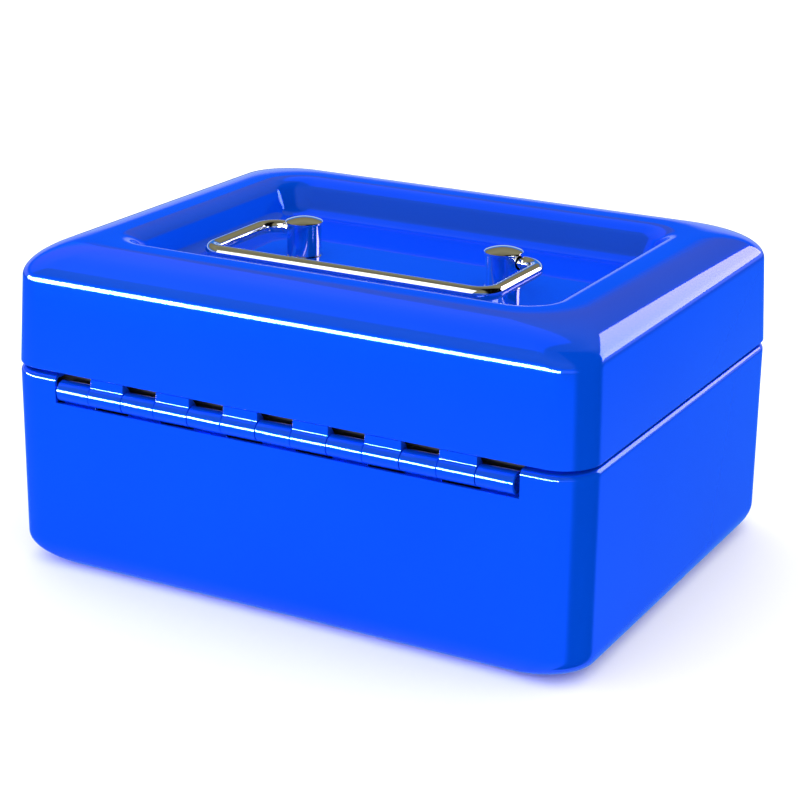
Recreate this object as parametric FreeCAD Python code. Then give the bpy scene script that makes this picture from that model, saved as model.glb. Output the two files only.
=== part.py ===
# Small steel cash box: pressed base and lid, piano hinge, folding wire handle, key lock and coin tray.
# Units are millimetres. +Z is up, X runs along the long side, the lock is on -Y and the hinge on +Y.
# The origin is the middle of the underside.
import FreeCAD, Part
import math
import os
from FreeCAD import Vector

# Overall size of the box body, and the sheet that it is pressed from
BOX_LENGTH = 152.0
BOX_WIDTH = 118.0
BOX_HEIGHT = 80.0
SHEET = 0.8
CORNER_RADIUS = 9.5

# Base: rounded bottom edge, shoulder under the lid's edge, and the lip that rises inside the lid
BOTTOM_ROUND = 7.0
BOTTOM_CORNER_RADIUS = 19.0
SEAM_Z = 51.0
SEAM_GAP = 1.0
SHOULDER_Z = SEAM_Z - SEAM_GAP
SHOULDER_ROUND = 1.5
LIP_INSET = 3.4
LIP_TOP_Z = 56.5

# Lid: drafted wall, wide rounded edge, crest, and the dish that the handle folds into
LID_DRAFT = 0.9
LID_ROUND_RUN = 12.4
LID_ROUND_RISE = 8.0
LID_CREST_CORNER_RADIUS = 15.3
DISH_INSET = 17.0
DISH_DEPTH = 9.0
DISH_EDGE_RADIUS = 5.0
DISH_FOOT_RADIUS = 4.0
DISH_SLOPE = math.radians(65.0)
DISH_RIM_CORNER_RADIUS = 11.0
DISH_FOOT_CORNER_RADIUS = 4.0

# Piano hinge: thirteen knuckles on one pin, the odd ones belong to the base
HINGE_Y = 57.5
HINGE_Z = 46.3
KNUCKLE_COUNT = 13
KNUCKLE_PITCH = 9.26
KNUCKLE_GAP = 0.16
LEAF_SHEET = 0.8
KNUCKLE_RADIUS = 2.6
KNUCKLE_BORE = KNUCKLE_RADIUS - LEAF_SHEET
PIN_RADIUS = KNUCKLE_BORE - 0.05
PIN_RECESS = 1.6
NOTCH_MARGIN = 1.0
NOTCH_BOTTOM_Z = 43.3
BASE_LEAF_LOW_Z = 28.0
BASE_LEAF_JOGGLE_Z = 41.0
TONGUE_OVERLAP = 1.0
TONGUE_RUN_Z = 44.7
TONGUE_BEND = 0.5
LID_LEAF_HIGH_Z = 64.0
LID_LEAF_BAND_Z = 49.5
LID_LEAF_GAP = 0.1
LID_TONGUE_RISE = 1.3
LID_TONGUE_FILLET = 0.8
PIN_CHAMFER = 0.3

# Handle: chromed wire that turns in two posts
POST_X = 27.6
POST_RADIUS = 4.3
POST_CAP_RADIUS = 4.7
POST_CAP_SHEET = 0.7
POST_CAP_ROUND = 0.35
POST_RIM_Z = 79.6
POST_DOME = 1.0
PIVOT_Z = 77.2
WIRE_RADIUS = 1.7
STUB_RADIUS = 1.45
STUB_CLEARANCE = 0.35
STUB_DEPTH = 4.4
STUB_END_GAP = 0.3
STUB_BARE_LENGTH = 0.8
HANDLE_HALF_LENGTH = 38.0
HANDLE_REACH = 28.8
HANDLE_BAR_BEND = 4.6
HANDLE_ARM_BEND = 5.0
POST_SCREW_RADIUS = 2.0
POST_SCREW_TOP_Z = 75.0
POST_SCREW_HEAD_RADIUS = 3.8
POST_SCREW_HEAD_HEIGHT = 2.2
POST_SCREW_HEAD_ROUND = 1.0
CROSS_LENGTH = 4.4
CROSS_WIDTH = 0.9
CROSS_DEPTH = 1.2
POST_WASHER_RADIUS = 5.0
WASHER_SHEET = 0.8

# Lock: housing through the front wall, plug with a hooked cam, and the strike that hangs from the lid
LOCK_Z = 33.5
LOCK_FACE_Y = -(HINGE_Y + KNUCKLE_RADIUS)
WALL_FACE_Y = -BOX_WIDTH / 2
LOCK_REAR_Y = -50.0
BEZEL_RADIUS = 9.5
BEZEL_ROUND = 0.7
HOUSING_RADIUS = 7.0
HOUSING_GROOVE_HALF_WIDTH = 1.5
HOUSING_GROOVE_REACH = 5.4
HOUSING_GROOVE_END = 1.5
NUT_ACROSS_FLATS = 17.0
NUT_THICKNESS = 2.5
PLUG_RADIUS = 4.25
PLUG_CLEARANCE = 0.05
PLUG_HEAD_RADIUS = 5.3
PLUG_HEAD_LENGTH = 1.2
KEYWAY_WIDTH = 1.6
KEYWAY_HEIGHT = 5.6
KEYWAY_END_Y = -53.4
WAFER_COUNT = 4
WAFER_PITCH = 1.3
WAFER_FIRST_Y = -58.2
WAFER_SHEET = 0.7
WAFER_HALF_WIDTH = 2.35
WAFER_HALF_HEIGHT = 3.05
WAFER_TAIL_HALF_WIDTH = 1.35
WAFER_TAIL_REACH = 4.0
WAFER_WINDOW_HALF_WIDTH = 1.0
WAFER_WINDOW_HALF_HEIGHT = 2.4
WAFER_CLEARANCE = 0.05
WAFER_NOTCH_GAP = 0.01
SPRING_X = 1.88
SPRING_RADIUS = 0.35
SPRING_WIRE_RADIUS = 0.1
SPRING_HEIGHT = 3.0
SPRING_PITCH = 0.75
SPRING_POCKET_CLEARANCE = 0.15
SPRING_END_GAP = 0.05
CAM_SHEET = 1.6
CAM_GAP = 0.1
CAM_SQUARE = 5.0
PLUG_TAIL_SHORTFALL = 0.05
CAM_HUB_RADIUS = 7.0
CAM_ARM_OVERLAP = 1.0
HOOK_INNER_RADIUS = 11.6
HOOK_OUTER_RADIUS = 15.1
HOOK_START_ANGLE = 20.0
HOOK_END_ANGLE = 110.0
HOOK_ARM_ANGLE = 12.0
CAM_SCREW_RADIUS = 1.5
CAM_SCREW_HEAD_RADIUS = 2.9
CAM_SCREW_HEAD_HEIGHT = 1.8
CAM_SCREW_HEAD_ROUND = 0.8
CAM_SCREW_DEPTH = 2.8
CAM_SCREW_SLOT = 0.8
CAM_WASHER_RADIUS = 4.5
CAM_WASHER_SHEET = 0.6
STRIKE_SHEET = 1.2
STRIKE_FLANGE_WIDTH = 28.0
STRIKE_FLANGE_LOW_Z = 58.0
STRIKE_FLANGE_HIGH_Z = 66.0
STRIKE_FRONT_Y = -53.6
STRIKE_REAR_Y = -44.0
STRIKE_CLEARANCE = 0.45
STRIKE_LOW_CLEARANCE = 1.25
STRIKE_SIDE_CLEARANCE = 1.3
STRIKE_LOWER_BAR = 1.6
STRIKE_BLADE_SETBACK = 1.0

# Coin tray: one plastic moulding that hangs by its flange on the base's lip
TRAY_INSET = 5.2
TRAY_FLANGE_INSET = 3.5
TRAY_FLANGE_SHEET = 1.2
TRAY_FLANGE_CORNER_RADIUS = 9.0
TRAY_REST_GAP = 0.05
TRAY_BOTTOM_Z = 36.0
TRAY_WALL = 1.6
TRAY_TOP_Z = LIP_TOP_Z + TRAY_REST_GAP + TRAY_FLANGE_SHEET
TRAY_LOCK_HALF_WIDTH = 18.0
TRAY_LOCK_Y = -38.0
TRAY_NOTE_WALL_Y = 9.2
TRAY_COIN_WALL_Y = -22.0
TRAY_POCKET_CORNER = 6.0
TRAY_POCKET_FOOT = 5.5

RIGHT_ANGLE = math.pi / 2
ROUND_STEPS = 6
CUT_MARGIN = 1.0
SEW_TOLERANCE = 0.001
EDGE_SEARCH = 0.01
X_AXIS = Vector(1, 0, 0)
Y_AXIS = Vector(0, 1, 0)
Z_AXIS = Vector(0, 0, 1)


# ---------------------------------------------------------------- shared shapes

def box_between(low, high):
    size = Vector(*high) - Vector(*low)
    return Part.makeBox(size.x, size.y, size.z, Vector(*low))


def cylinder(radius, start, axis, length):
    return Part.makeCylinder(radius, length, Vector(*start), axis)


def prism_along_x(points_yz, x_low, x_high):
    """A solid of one outline in the YZ plane, from x_low to x_high."""
    corners = [Vector(x_low, y, z) for y, z in points_yz]
    outline = Part.makePolygon(corners + corners[:1])
    return Part.Face(outline).extrude(Vector(x_high - x_low, 0, 0))


def closed_edges(shape, side, value):
    """The closed edges whose bounding box has that side at a value."""
    rims = [edge for edge in shape.Edges if edge.Closed]
    return [edge for edge in rims if abs(getattr(edge.BoundBox, side) - value) < EDGE_SEARCH]


def fused(shapes):
    return shapes[0].multiFuse(shapes[1:]).removeSplitter()


def rounded_rectangle(inset, corner_radius, z):
    """The box's plan outline, drawn in from its faces by inset, at one height."""
    half_x = BOX_LENGTH / 2 - inset
    half_y = BOX_WIDTH / 2 - inset
    edges = []
    for quarter, (sign_x, sign_y) in enumerate(((1, 1), (-1, 1), (-1, -1), (1, -1))):
        centre = Vector(sign_x * (half_x - corner_radius), sign_y * (half_y - corner_radius), z)
        start_degrees = 90.0 * quarter
        arc = Part.makeCircle(corner_radius, centre, Z_AXIS, start_degrees, start_degrees + 90.0)
        if edges:
            edges.append(Part.makeLine(edges[-1].Vertexes[-1].Point, arc.Vertexes[0].Point))
        edges.append(arc)
    edges.append(Part.makeLine(edges[-1].Vertexes[-1].Point, edges[0].Vertexes[0].Point))
    return Part.Wire(edges)


def skin_faces(rings):
    """Faces through a run of plan outlines. Two outlines at one height give a flat ring."""
    wires = [rounded_rectangle(*ring) for ring in rings]
    if rings[0][2] == rings[-1][2]:
        wires.sort(key=lambda wire: wire.BoundBox.XLength, reverse=True)
        return [Part.Face(wires)]
    return Part.makeLoft(wires, False, len(wires) == 2).Faces


def pressed_solid(runs):
    """A sheet part: runs of outlines from the middle of one skin, over the edge, to the other skin."""
    faces = [Part.Face(rounded_rectangle(*runs[0][0])), Part.Face(rounded_rectangle(*runs[-1][-1]))]
    for run in runs:
        faces.extend(skin_faces(run))
    skin = Part.Compound(faces)
    skin.sewShape(SEW_TOLERANCE)
    solid = Part.Solid(skin.Shells[0])
    solid.fix(SEW_TOLERANCE, SEW_TOLERANCE, SEW_TOLERANCE)
    return solid


def quarter_steps():
    return [RIGHT_ANGLE * step / ROUND_STEPS for step in range(ROUND_STEPS + 1)]


# ---------------------------------------------------------------- base

def bottom_round(depth):
    """Outlines up the rounded bottom edge, at a depth below the outer skin."""
    rings = []
    for angle in quarter_steps():
        growth = (BOTTOM_CORNER_RADIUS - CORNER_RADIUS) * (1 - math.sin(angle))
        reach = BOTTOM_ROUND - depth
        inset = BOTTOM_ROUND - reach * math.sin(angle)
        z = BOTTOM_ROUND - reach * math.cos(angle)
        rings.append((inset, CORNER_RADIUS + growth - depth * math.sin(angle), z))
    return rings


def shoulder_round(depth):
    rings = []
    for angle in quarter_steps():
        reach = SHOULDER_ROUND - depth
        inset = SHOULDER_ROUND - reach * math.cos(angle)
        z = SHOULDER_Z - SHOULDER_ROUND + reach * math.sin(angle)
        rings.append((inset, CORNER_RADIUS - inset, z))
    return rings


def lip_ring(depth, z):
    inset = LIP_INSET + depth
    return (inset, CORNER_RADIUS - inset, z)


def base_shell():
    outer_bottom = bottom_round(0.0)
    inner_bottom = bottom_round(SHEET)[::-1]
    outer_shoulder = shoulder_round(0.0)
    inner_shoulder = shoulder_round(SHEET)[::-1]
    runs = [
        outer_bottom,
        [outer_bottom[-1], outer_shoulder[0]],
        outer_shoulder,
        [outer_shoulder[-1], lip_ring(0.0, SHOULDER_Z)],
        [lip_ring(0.0, SHOULDER_Z), lip_ring(0.0, LIP_TOP_Z)],
        [lip_ring(0.0, LIP_TOP_Z), lip_ring(SHEET, LIP_TOP_Z)],
        [lip_ring(SHEET, LIP_TOP_Z), lip_ring(SHEET, SHOULDER_Z - SHEET)],
        [lip_ring(SHEET, SHOULDER_Z - SHEET), inner_shoulder[0]],
        inner_shoulder,
        [inner_shoulder[-1], inner_bottom[0]],
        inner_bottom,
    ]
    shell = pressed_solid(runs)
    half_notch = hinge_half_length() + NOTCH_MARGIN
    notch_low = (-half_notch, HINGE_Y - KNUCKLE_RADIUS - CUT_MARGIN, NOTCH_BOTTOM_Z)
    notch_high = (half_notch, BOX_WIDTH / 2 + CUT_MARGIN, LIP_TOP_Z + CUT_MARGIN)
    lock_hole = along_y(HOUSING_RADIUS, WALL_FACE_Y - CUT_MARGIN, WALL_FACE_Y + SHEET + CUT_MARGIN)
    return shell.cut(box_between(notch_low, notch_high)).cut(lock_hole)


# ---------------------------------------------------------------- lid

def lid_round(depth):
    """Outlines over the lid's wide rounded edge, an ellipse in section."""
    rings = []
    for angle in quarter_steps():
        along = math.cos(angle) / LID_ROUND_RUN
        upward = math.sin(angle) / LID_ROUND_RISE
        unit = math.hypot(along, upward)
        drop_in = depth * along / unit
        drop_down = depth * upward / unit
        inset = LID_DRAFT + LID_ROUND_RUN * (1 - math.cos(angle)) + drop_in
        growth = (LID_CREST_CORNER_RADIUS - CORNER_RADIUS) * (1 - math.cos(angle))
        z = BOX_HEIGHT - LID_ROUND_RISE * (1 - math.sin(angle)) - drop_down
        rings.append((inset, CORNER_RADIUS + growth - drop_in, z))
    return rings


def dish_profile():
    """Where the centres of the dish's two rounds lie, as inset and height."""
    drop = DISH_DEPTH - (DISH_EDGE_RADIUS + DISH_FOOT_RADIUS) * (1 - math.cos(DISH_SLOPE))
    run = drop / math.tan(DISH_SLOPE)
    foot_inset = DISH_INSET + (DISH_EDGE_RADIUS + DISH_FOOT_RADIUS) * math.sin(DISH_SLOPE) + run
    return foot_inset, BOX_HEIGHT - DISH_EDGE_RADIUS, BOX_HEIGHT - DISH_DEPTH + DISH_FOOT_RADIUS


def dish_corner_radius(inset):
    """The dish's plan corners tighten from its rim to its foot."""
    foot_inset = dish_profile()[0]
    share = (inset - DISH_INSET) / (foot_inset - DISH_INSET)
    return DISH_RIM_CORNER_RADIUS + (DISH_FOOT_CORNER_RADIUS - DISH_RIM_CORNER_RADIUS) * share


def dish_edge(depth):
    """Outlines over the dish's upper round, which bends down from the crest."""
    edge_z = dish_profile()[1]
    rings = []
    for step in range(ROUND_STEPS + 1):
        angle = DISH_SLOPE * step / ROUND_STEPS
        skin_inset = DISH_INSET + DISH_EDGE_RADIUS * math.sin(angle)
        shift = depth * math.sin(angle)
        z = edge_z + (DISH_EDGE_RADIUS - depth) * math.cos(angle)
        rings.append((skin_inset - shift, dish_corner_radius(skin_inset) + shift, z))
    return rings


def dish_foot(depth):
    """Outlines round the dish's lower round, which runs out into its floor."""
    foot_inset, _, foot_z = dish_profile()
    rings = []
    for step in range(ROUND_STEPS + 1):
        angle = DISH_SLOPE * (1 - step / ROUND_STEPS)
        skin_inset = foot_inset - DISH_FOOT_RADIUS * math.sin(angle)
        shift = depth * math.sin(angle)
        z = foot_z - (DISH_FOOT_RADIUS + depth) * math.cos(angle)
        rings.append((skin_inset - shift, dish_corner_radius(skin_inset) + shift, z))
    return rings


def lid_shell():
    outer_edge = (0.0, CORNER_RADIUS, SEAM_Z)
    inner_edge = (SHEET, CORNER_RADIUS - SHEET, SEAM_Z)
    outer = [dish_foot(0.0)[::-1], dish_edge(0.0)[::-1], lid_round(0.0)[::-1]]
    inner = [lid_round(SHEET), dish_edge(SHEET), dish_foot(SHEET)]
    runs = [
        outer[0],
        [outer[0][-1], outer[1][0]],
        outer[1],
        [outer[1][-1], outer[2][0]],
        outer[2],
        [outer[2][-1], outer_edge],
        [outer_edge, inner_edge],
        [inner_edge, inner[0][0]],
        inner[0],
        [inner[0][-1], inner[1][0]],
        inner[1],
        [inner[1][-1], inner[2][0]],
        inner[2],
    ]
    shell = pressed_solid(runs)
    for side in (-1, 1):
        hole_start = (side * POST_X, 0, dish_floor_z() - SHEET - CUT_MARGIN)
        shell = shell.cut(cylinder(POST_SCREW_RADIUS, hole_start, Z_AXIS, SHEET + 2 * CUT_MARGIN))
    return shell


def dish_floor_z():
    return BOX_HEIGHT - DISH_DEPTH


def lid_inner_wall_y(z):
    """How far the lid's inner wall stands from the middle, at one height."""
    wall_top_z = BOX_HEIGHT - LID_ROUND_RISE
    return BOX_WIDTH / 2 - SHEET - LID_DRAFT * (z - SEAM_Z) / (wall_top_z - SEAM_Z)


# ---------------------------------------------------------------- hinge

def hinge_half_length():
    return KNUCKLE_COUNT * KNUCKLE_PITCH / 2


def knuckle_span(index):
    start = hinge_half_length() - KNUCKLE_PITCH * (index + 1)
    return start + KNUCKLE_GAP / 2, start + KNUCKLE_PITCH - KNUCKLE_GAP / 2


def knuckle_barrel(x_low, x_high):
    start = (x_low, HINGE_Y, HINGE_Z)
    length = x_high - x_low
    return cylinder(KNUCKLE_RADIUS, start, X_AXIS, length)


def pin_bore():
    start = (-hinge_half_length() - CUT_MARGIN, HINGE_Y, HINGE_Z)
    return cylinder(KNUCKLE_BORE, start, X_AXIS, 2 * hinge_half_length() + 2 * CUT_MARGIN)


def base_leaf_tongue(x_low, x_high):
    """The stretch that steps in from the wall and runs up the inside of the pin."""
    wall_y = BOX_WIDTH / 2 - SHEET
    inside_y = HINGE_Y - KNUCKLE_RADIUS
    outline = [
        (wall_y, BASE_LEAF_JOGGLE_Z - TONGUE_OVERLAP),
        (wall_y, BASE_LEAF_JOGGLE_Z + TONGUE_BEND),
        (inside_y + LEAF_SHEET, TONGUE_RUN_Z),
        (inside_y + LEAF_SHEET, HINGE_Z),
        (inside_y, HINGE_Z),
        (inside_y, TONGUE_RUN_Z - TONGUE_BEND),
        (wall_y - LEAF_SHEET, BASE_LEAF_JOGGLE_Z),
        (wall_y - LEAF_SHEET, BASE_LEAF_JOGGLE_Z - TONGUE_OVERLAP),
    ]
    return prism_along_x(outline, x_low, x_high)


def lid_leaf_tongue(x_low, x_high):
    """The stretch that runs down from the lid's wall and blends into the barrel with a small hollow round."""
    wall_y = BOX_WIDTH / 2 - SHEET - LID_LEAF_GAP
    inside_y = HINGE_Y - KNUCKLE_RADIUS
    reach = KNUCKLE_RADIUS + LID_TONGUE_FILLET
    fillet_y = wall_y + LID_TONGUE_FILLET
    end_angle = math.acos((fillet_y - HINGE_Y) / reach)
    fillet_z = HINGE_Z + reach * math.sin(end_angle)
    middle_angle = (math.pi + math.pi + end_angle) / 2
    start = Vector(x_low, wall_y, fillet_z)
    middle = Vector(
        x_low,
        fillet_y + LID_TONGUE_FILLET * math.cos(middle_angle),
        fillet_z + LID_TONGUE_FILLET * math.sin(middle_angle),
    )
    end = Vector(
        x_low,
        HINGE_Y + KNUCKLE_RADIUS * math.cos(end_angle),
        HINGE_Z + KNUCKLE_RADIUS * math.sin(end_angle),
    )
    rest = [
        end,
        Vector(x_low, HINGE_Y, HINGE_Z),
        Vector(x_low, inside_y, HINGE_Z),
        Vector(x_low, inside_y, HINGE_Z + LID_TONGUE_RISE),
        Vector(x_low, wall_y - LEAF_SHEET, LID_LEAF_BAND_Z + TONGUE_BEND),
        Vector(x_low, wall_y - LEAF_SHEET, LID_LEAF_BAND_Z + TONGUE_OVERLAP),
        Vector(x_low, wall_y, LID_LEAF_BAND_Z + TONGUE_OVERLAP),
        start,
    ]
    edges = [Part.Arc(start, middle, end).toShape()] + Part.makePolygon(rest).Edges
    return Part.Face(Part.Wire(edges)).extrude(Vector(x_high - x_low, 0, 0))


def hinge_base_leaf():
    wall_y = BOX_WIDTH / 2 - SHEET
    half = hinge_half_length()
    plate = box_between((-half, wall_y - LEAF_SHEET, BASE_LEAF_LOW_Z), (half, wall_y, BASE_LEAF_JOGGLE_Z))
    pieces = [plate]
    for index in range(0, KNUCKLE_COUNT, 2):
        x_low, x_high = knuckle_span(index)
        pieces.append(knuckle_barrel(x_low, x_high))
        pieces.append(base_leaf_tongue(x_low, x_high))
    return fused(pieces).cut(pin_bore())


def hinge_lid_leaf():
    half = hinge_half_length()
    plate_y = BOX_WIDTH / 2 - SHEET - LID_LEAF_GAP
    plate_top_y = lid_inner_wall_y(LID_LEAF_HIGH_Z)
    band = [
        (plate_y, LID_LEAF_BAND_Z),
        (plate_y, SEAM_Z),
        (plate_top_y, LID_LEAF_HIGH_Z),
        (plate_top_y - LEAF_SHEET, LID_LEAF_HIGH_Z),
        (plate_y - LEAF_SHEET, SEAM_Z),
        (plate_y - LEAF_SHEET, LID_LEAF_BAND_Z),
    ]
    pieces = [prism_along_x(band, -half, half)]
    for index in range(1, KNUCKLE_COUNT, 2):
        x_low, x_high = knuckle_span(index)
        pieces.append(knuckle_barrel(x_low, x_high))
        pieces.append(lid_leaf_tongue(x_low, x_high))
    return fused(pieces).cut(pin_bore())


def hinge_pin():
    length = 2 * (hinge_half_length() - PIN_RECESS)
    pin = cylinder(PIN_RADIUS, (-length / 2, HINGE_Y, HINGE_Z), X_AXIS, length)
    return pin.makeChamfer(PIN_CHAMFER, [edge for edge in pin.Edges if edge.Closed])


# ---------------------------------------------------------------- handle

def handle_post(side):
    """A round post under a wider cap with a low dome. A cross bore for the handle opens on its outer side."""
    floor_z = dish_floor_z()
    cap_low_z = POST_RIM_Z - POST_CAP_SHEET
    start = (side * POST_X, 0, floor_z)
    column = cylinder(POST_RADIUS, start, Z_AXIS, POST_RIM_Z - floor_z)
    cap = cylinder(POST_CAP_RADIUS, (side * POST_X, 0, cap_low_z), Z_AXIS, POST_CAP_SHEET)
    cap = cap.makeFillet(POST_CAP_ROUND, closed_edges(cap, "ZMax", cap_low_z))
    dome_radius = (POST_CAP_RADIUS ** 2 + POST_DOME ** 2) / (2 * POST_DOME)
    dome_centre = Vector(side * POST_X, 0, POST_RIM_Z + POST_DOME - dome_radius)
    sleeve = cylinder(POST_CAP_RADIUS, (side * POST_X, 0, POST_RIM_Z), Z_AXIS, 2 * POST_DOME)
    dome = Part.makeSphere(dome_radius, dome_centre).common(sleeve)
    post = fused([column, cap, dome])
    screw_hole = cylinder(POST_SCREW_RADIUS, start, Z_AXIS, POST_SCREW_TOP_Z - floor_z)
    face_x = side * (POST_X + POST_RADIUS + CUT_MARGIN)
    bore_length = STUB_DEPTH + CUT_MARGIN + STUB_END_GAP
    bore = cylinder(STUB_RADIUS + STUB_CLEARANCE, (face_x, 0, PIVOT_Z), X_AXIS * -side, bore_length)
    return post.cut(screw_hole).cut(bore)


def handle_post_left():
    return handle_post(-1)


def handle_post_right():
    return handle_post(1)


def post_screws():
    """Pan-head screws from under the lid, with a crossed recess in the head."""
    washer_low_z = dish_floor_z() - SHEET - WASHER_SHEET
    head_low_z = washer_low_z - POST_SCREW_HEAD_HEIGHT
    screws = []
    for side in (-1, 1):
        x = side * POST_X
        shank = cylinder(POST_SCREW_RADIUS, (x, 0, washer_low_z), Z_AXIS, POST_SCREW_TOP_Z - washer_low_z)
        head = cylinder(POST_SCREW_HEAD_RADIUS, (x, 0, head_low_z), Z_AXIS, POST_SCREW_HEAD_HEIGHT)
        head = head.makeFillet(POST_SCREW_HEAD_ROUND, closed_edges(head, "ZMax", head_low_z))
        screws.append(fused([shank, head]).cut(crossed_recess(x, head_low_z)))
    return Part.Compound(screws)


def crossed_recess(x, z):
    bars = []
    for size_x, size_y in ((CROSS_LENGTH, CROSS_WIDTH), (CROSS_WIDTH, CROSS_LENGTH)):
        low = (x - size_x / 2, -size_y / 2, z - CUT_MARGIN)
        high = (x + size_x / 2, size_y / 2, z + CROSS_DEPTH)
        bars.append(box_between(low, high))
    return fused(bars)


def post_washers():
    low_z = dish_floor_z() - SHEET - WASHER_SHEET
    washers = []
    for side in (-1, 1):
        disc = cylinder(POST_WASHER_RADIUS, (side * POST_X, 0, low_z), Z_AXIS, WASHER_SHEET)
        hole = cylinder(POST_SCREW_RADIUS, (side * POST_X, 0, low_z), Z_AXIS, WASHER_SHEET)
        washers.append(disc.cut(hole))
    return Part.Compound(washers)


def wire_bend(centre_x, centre_y, radius, start_degrees):
    """A quarter turn of the handle's wire, in the plane of the folded handle."""
    start = math.radians(start_degrees)
    section_centre = Vector(centre_x + radius * math.cos(start), centre_y + radius * math.sin(start), PIVOT_Z)
    tangent = Vector(-math.sin(start), math.cos(start), 0)
    section = Part.Face(Part.Wire(Part.makeCircle(WIRE_RADIUS, section_centre, tangent)))
    return section.revolve(Vector(centre_x, centre_y, PIVOT_Z), Z_AXIS, 90.0)


def handle_bail():
    """Folded flat towards the hinge: stubs in the posts, an arm out on each side, and the grip bar."""
    stub_inner_x = POST_X + POST_RADIUS - STUB_DEPTH
    stub_outer_x = POST_X + POST_RADIUS + STUB_BARE_LENGTH
    arm_bend_x = HANDLE_HALF_LENGTH - HANDLE_ARM_BEND
    bar_bend_x = HANDLE_HALF_LENGTH - HANDLE_BAR_BEND
    bar_bend_y = HANDLE_REACH - HANDLE_BAR_BEND
    arm_length = bar_bend_y - HANDLE_ARM_BEND
    pieces = [cylinder(WIRE_RADIUS, (-bar_bend_x, HANDLE_REACH, PIVOT_Z), X_AXIS, 2 * bar_bend_x)]
    for side in (-1, 1):
        stub_start = (side * stub_inner_x, 0, PIVOT_Z)
        stub = cylinder(STUB_RADIUS, stub_start, X_AXIS * side, stub_outer_x - stub_inner_x)
        collar = Part.makeCone(
            STUB_RADIUS, WIRE_RADIUS, arm_bend_x - stub_outer_x,
            Vector(side * stub_outer_x, 0, PIVOT_Z), X_AXIS * side,
        )
        arm = cylinder(WIRE_RADIUS, (side * HANDLE_HALF_LENGTH, HANDLE_ARM_BEND, PIVOT_Z), Y_AXIS, arm_length)
        arm_bend_start = 270.0 if side > 0 else 180.0
        bar_bend_start = 0.0 if side > 0 else 90.0
        arm_bend = wire_bend(side * arm_bend_x, HANDLE_ARM_BEND, HANDLE_ARM_BEND, arm_bend_start)
        bar_bend = wire_bend(side * bar_bend_x, bar_bend_y, HANDLE_BAR_BEND, bar_bend_start)
        pieces.extend([stub, collar, arm_bend, arm, bar_bend])
    return fused(pieces)


# ---------------------------------------------------------------- lock

def along_y(radius, y_low, y_high):
    return cylinder(radius, (0, y_low, LOCK_Z), Y_AXIS, y_high - y_low)


def lock_housing():
    """The turned housing: a thin face flange, a body through the wall, and the plug's stepped bore."""
    flange = along_y(BEZEL_RADIUS, LOCK_FACE_Y, WALL_FACE_Y)
    flange = flange.makeFillet(BEZEL_ROUND, closed_edges(flange, "YMax", LOCK_FACE_Y))
    body = along_y(HOUSING_RADIUS, WALL_FACE_Y, LOCK_REAR_Y)
    head_end_y = LOCK_FACE_Y + PLUG_HEAD_LENGTH + PLUG_CLEARANCE
    head_bore = along_y(PLUG_HEAD_RADIUS + PLUG_CLEARANCE, LOCK_FACE_Y - CUT_MARGIN, head_end_y)
    bore = along_y(PLUG_RADIUS + PLUG_CLEARANCE, LOCK_FACE_Y, LOCK_REAR_Y + CUT_MARGIN)
    groove_low = (-HOUSING_GROOVE_HALF_WIDTH, head_end_y, LOCK_Z - HOUSING_GROOVE_REACH)
    groove_high = (HOUSING_GROOVE_HALF_WIDTH, LOCK_REAR_Y - HOUSING_GROOVE_END, LOCK_Z + HOUSING_GROOVE_REACH)
    return fused([flange, body]).cut(head_bore).cut(bore).cut(box_between(groove_low, groove_high))


def lock_nut():
    corner_radius = NUT_ACROSS_FLATS / 2 / math.cos(math.radians(30))
    nut_y = WALL_FACE_Y + SHEET
    corners = []
    for index in range(6):
        angle = math.radians(60 * index)
        z = LOCK_Z + corner_radius * math.sin(angle)
        corners.append(Vector(corner_radius * math.cos(angle), nut_y, z))
    hexagon = Part.Face(Part.makePolygon(corners + corners[:1]))
    nut = hexagon.extrude(Vector(0, NUT_THICKNESS, 0))
    return nut.cut(along_y(HOUSING_RADIUS, nut_y - CUT_MARGIN, nut_y + NUT_THICKNESS + CUT_MARGIN))


def wafer_positions():
    return [WAFER_FIRST_Y + WAFER_PITCH * index for index in range(WAFER_COUNT)]


def wafer_slab(half_width, half_height, y_middle, thickness):
    low = (-half_width, y_middle - thickness / 2, LOCK_Z - half_height)
    high = (half_width, y_middle + thickness / 2, LOCK_Z + half_height)
    return box_between(low, high)


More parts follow.
